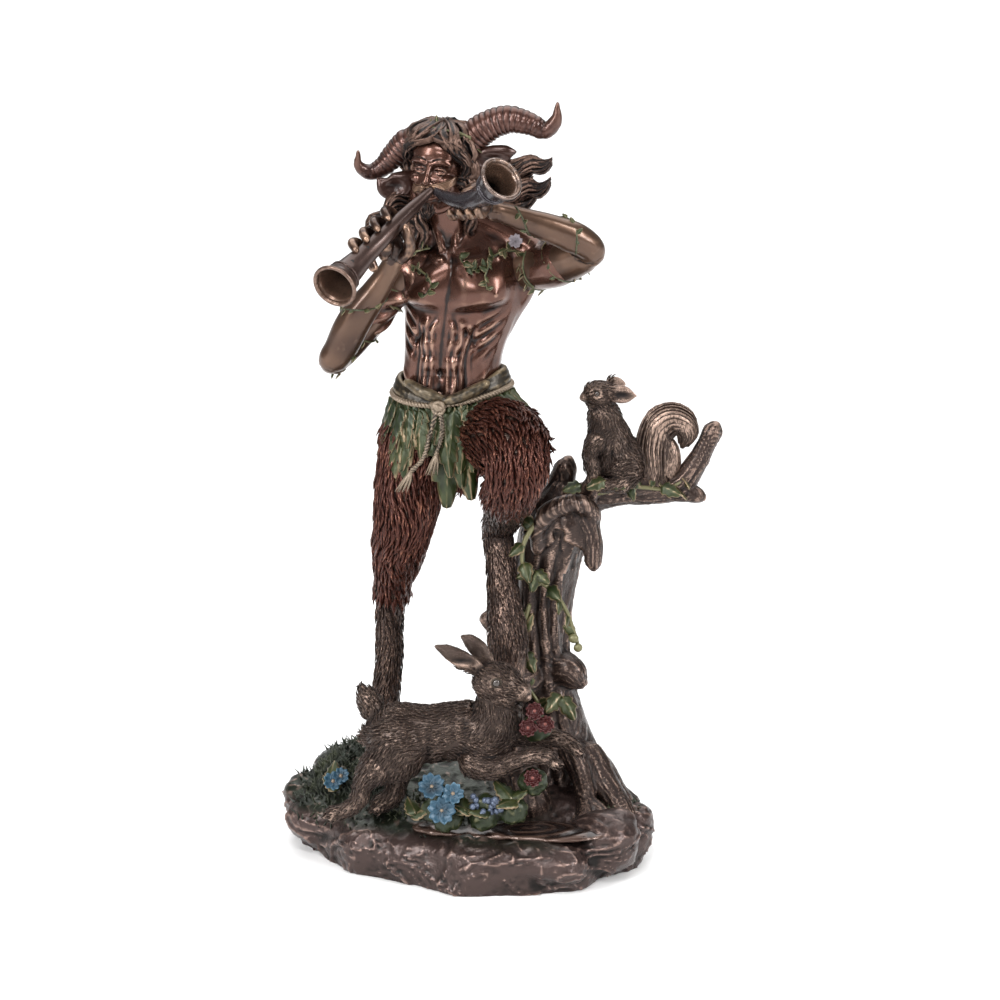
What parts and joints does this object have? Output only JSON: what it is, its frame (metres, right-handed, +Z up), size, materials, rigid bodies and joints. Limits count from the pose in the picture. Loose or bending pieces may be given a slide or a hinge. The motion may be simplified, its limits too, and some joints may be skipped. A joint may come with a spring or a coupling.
{
  "type": "faun statue",
  "caption": "Tabletop statue of a standing faun playing a double pipe, on a rocky base with a broken tree stump, a leaping hare and a squirrel on the branch.",
  "frame": {"origin": "centre of the base's flat underside", "axes": "+Z up through the figure, the faun faces -Y, +X towards the tree stump"},
  "size_m": [0.1379, 0.092, 0.2358],
  "materials": {
    "bronze_resin": "cold-cast bronze resin, dark brown with copper dry brushing, painted leaves and flowers"
  },
  "bodies": {
    "root": {"faun_statue": "bronze_resin"}
  },
  "joints": []
}
